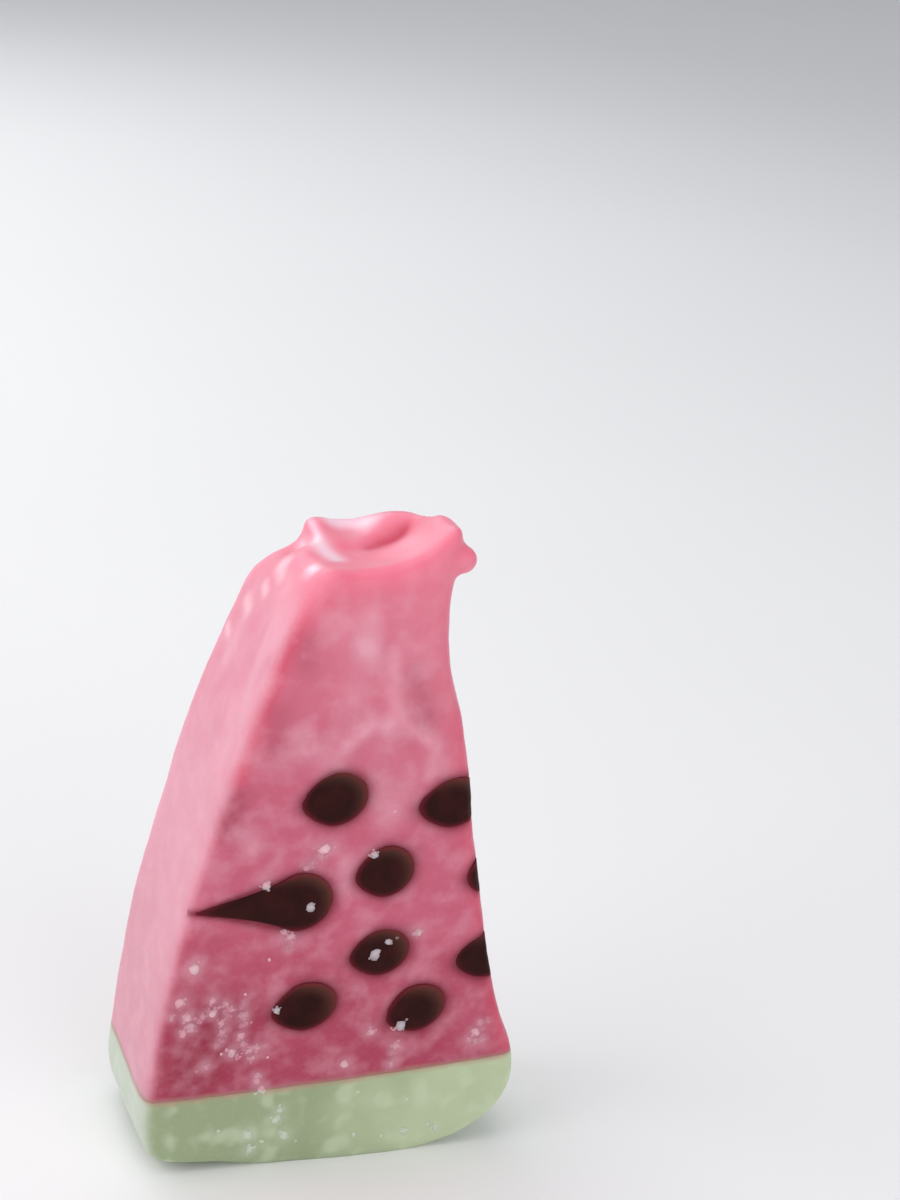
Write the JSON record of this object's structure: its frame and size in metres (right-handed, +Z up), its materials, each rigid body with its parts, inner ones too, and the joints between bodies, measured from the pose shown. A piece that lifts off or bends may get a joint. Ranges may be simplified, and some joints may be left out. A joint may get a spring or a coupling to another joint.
{
  "type": "watermelon ice lolly",
  "caption": "Half-eaten watermelon ice lolly: a tapering slab of pink ice on a green ice base, with flush chocolate seeds, a bitten, licked top and crumbs of frost.",
  "frame": {"origin": "bottom centre of the bounding box, on the surface the lolly stands on", "axes": "+Z up the lolly towards the bite, +Y through its thickness towards the back, so the front faces -Y; +X to the right seen from the front"},
  "size_m": [0.0598, 0.0265, 0.1035],
  "materials": {
    "pink_ice": "frozen fruit ice, frosty and matt low down, wet and glossy at the bite",
    "green_ice": "pale green frozen ice, frosty and matt",
    "chocolate": "dark frozen chocolate, matt with a soft bloom",
    "frost": "white crumbs of ice"
  },
  "bodies": {
    "root": {"flesh": "pink_ice", "rind": "green_ice", "seed_front_1": "chocolate", "seed_front_2": "chocolate", "seed_front_3": "chocolate", "seed_front_4": "chocolate", "seed_front_5": "chocolate", "seed_front_6": "chocolate", "seed_front_7": "chocolate", "seed_front_8": "chocolate", "seed_smeared": "chocolate", "seed_back_1": "chocolate", "seed_back_2": "chocolate", "seed_back_3": "chocolate", "seed_back_4": "chocolate", "seed_back_5": "chocolate", "seed_back_6": "chocolate", "seed_back_7": "chocolate", "seed_back_8": "chocolate"}
  },
  "joints": []
}
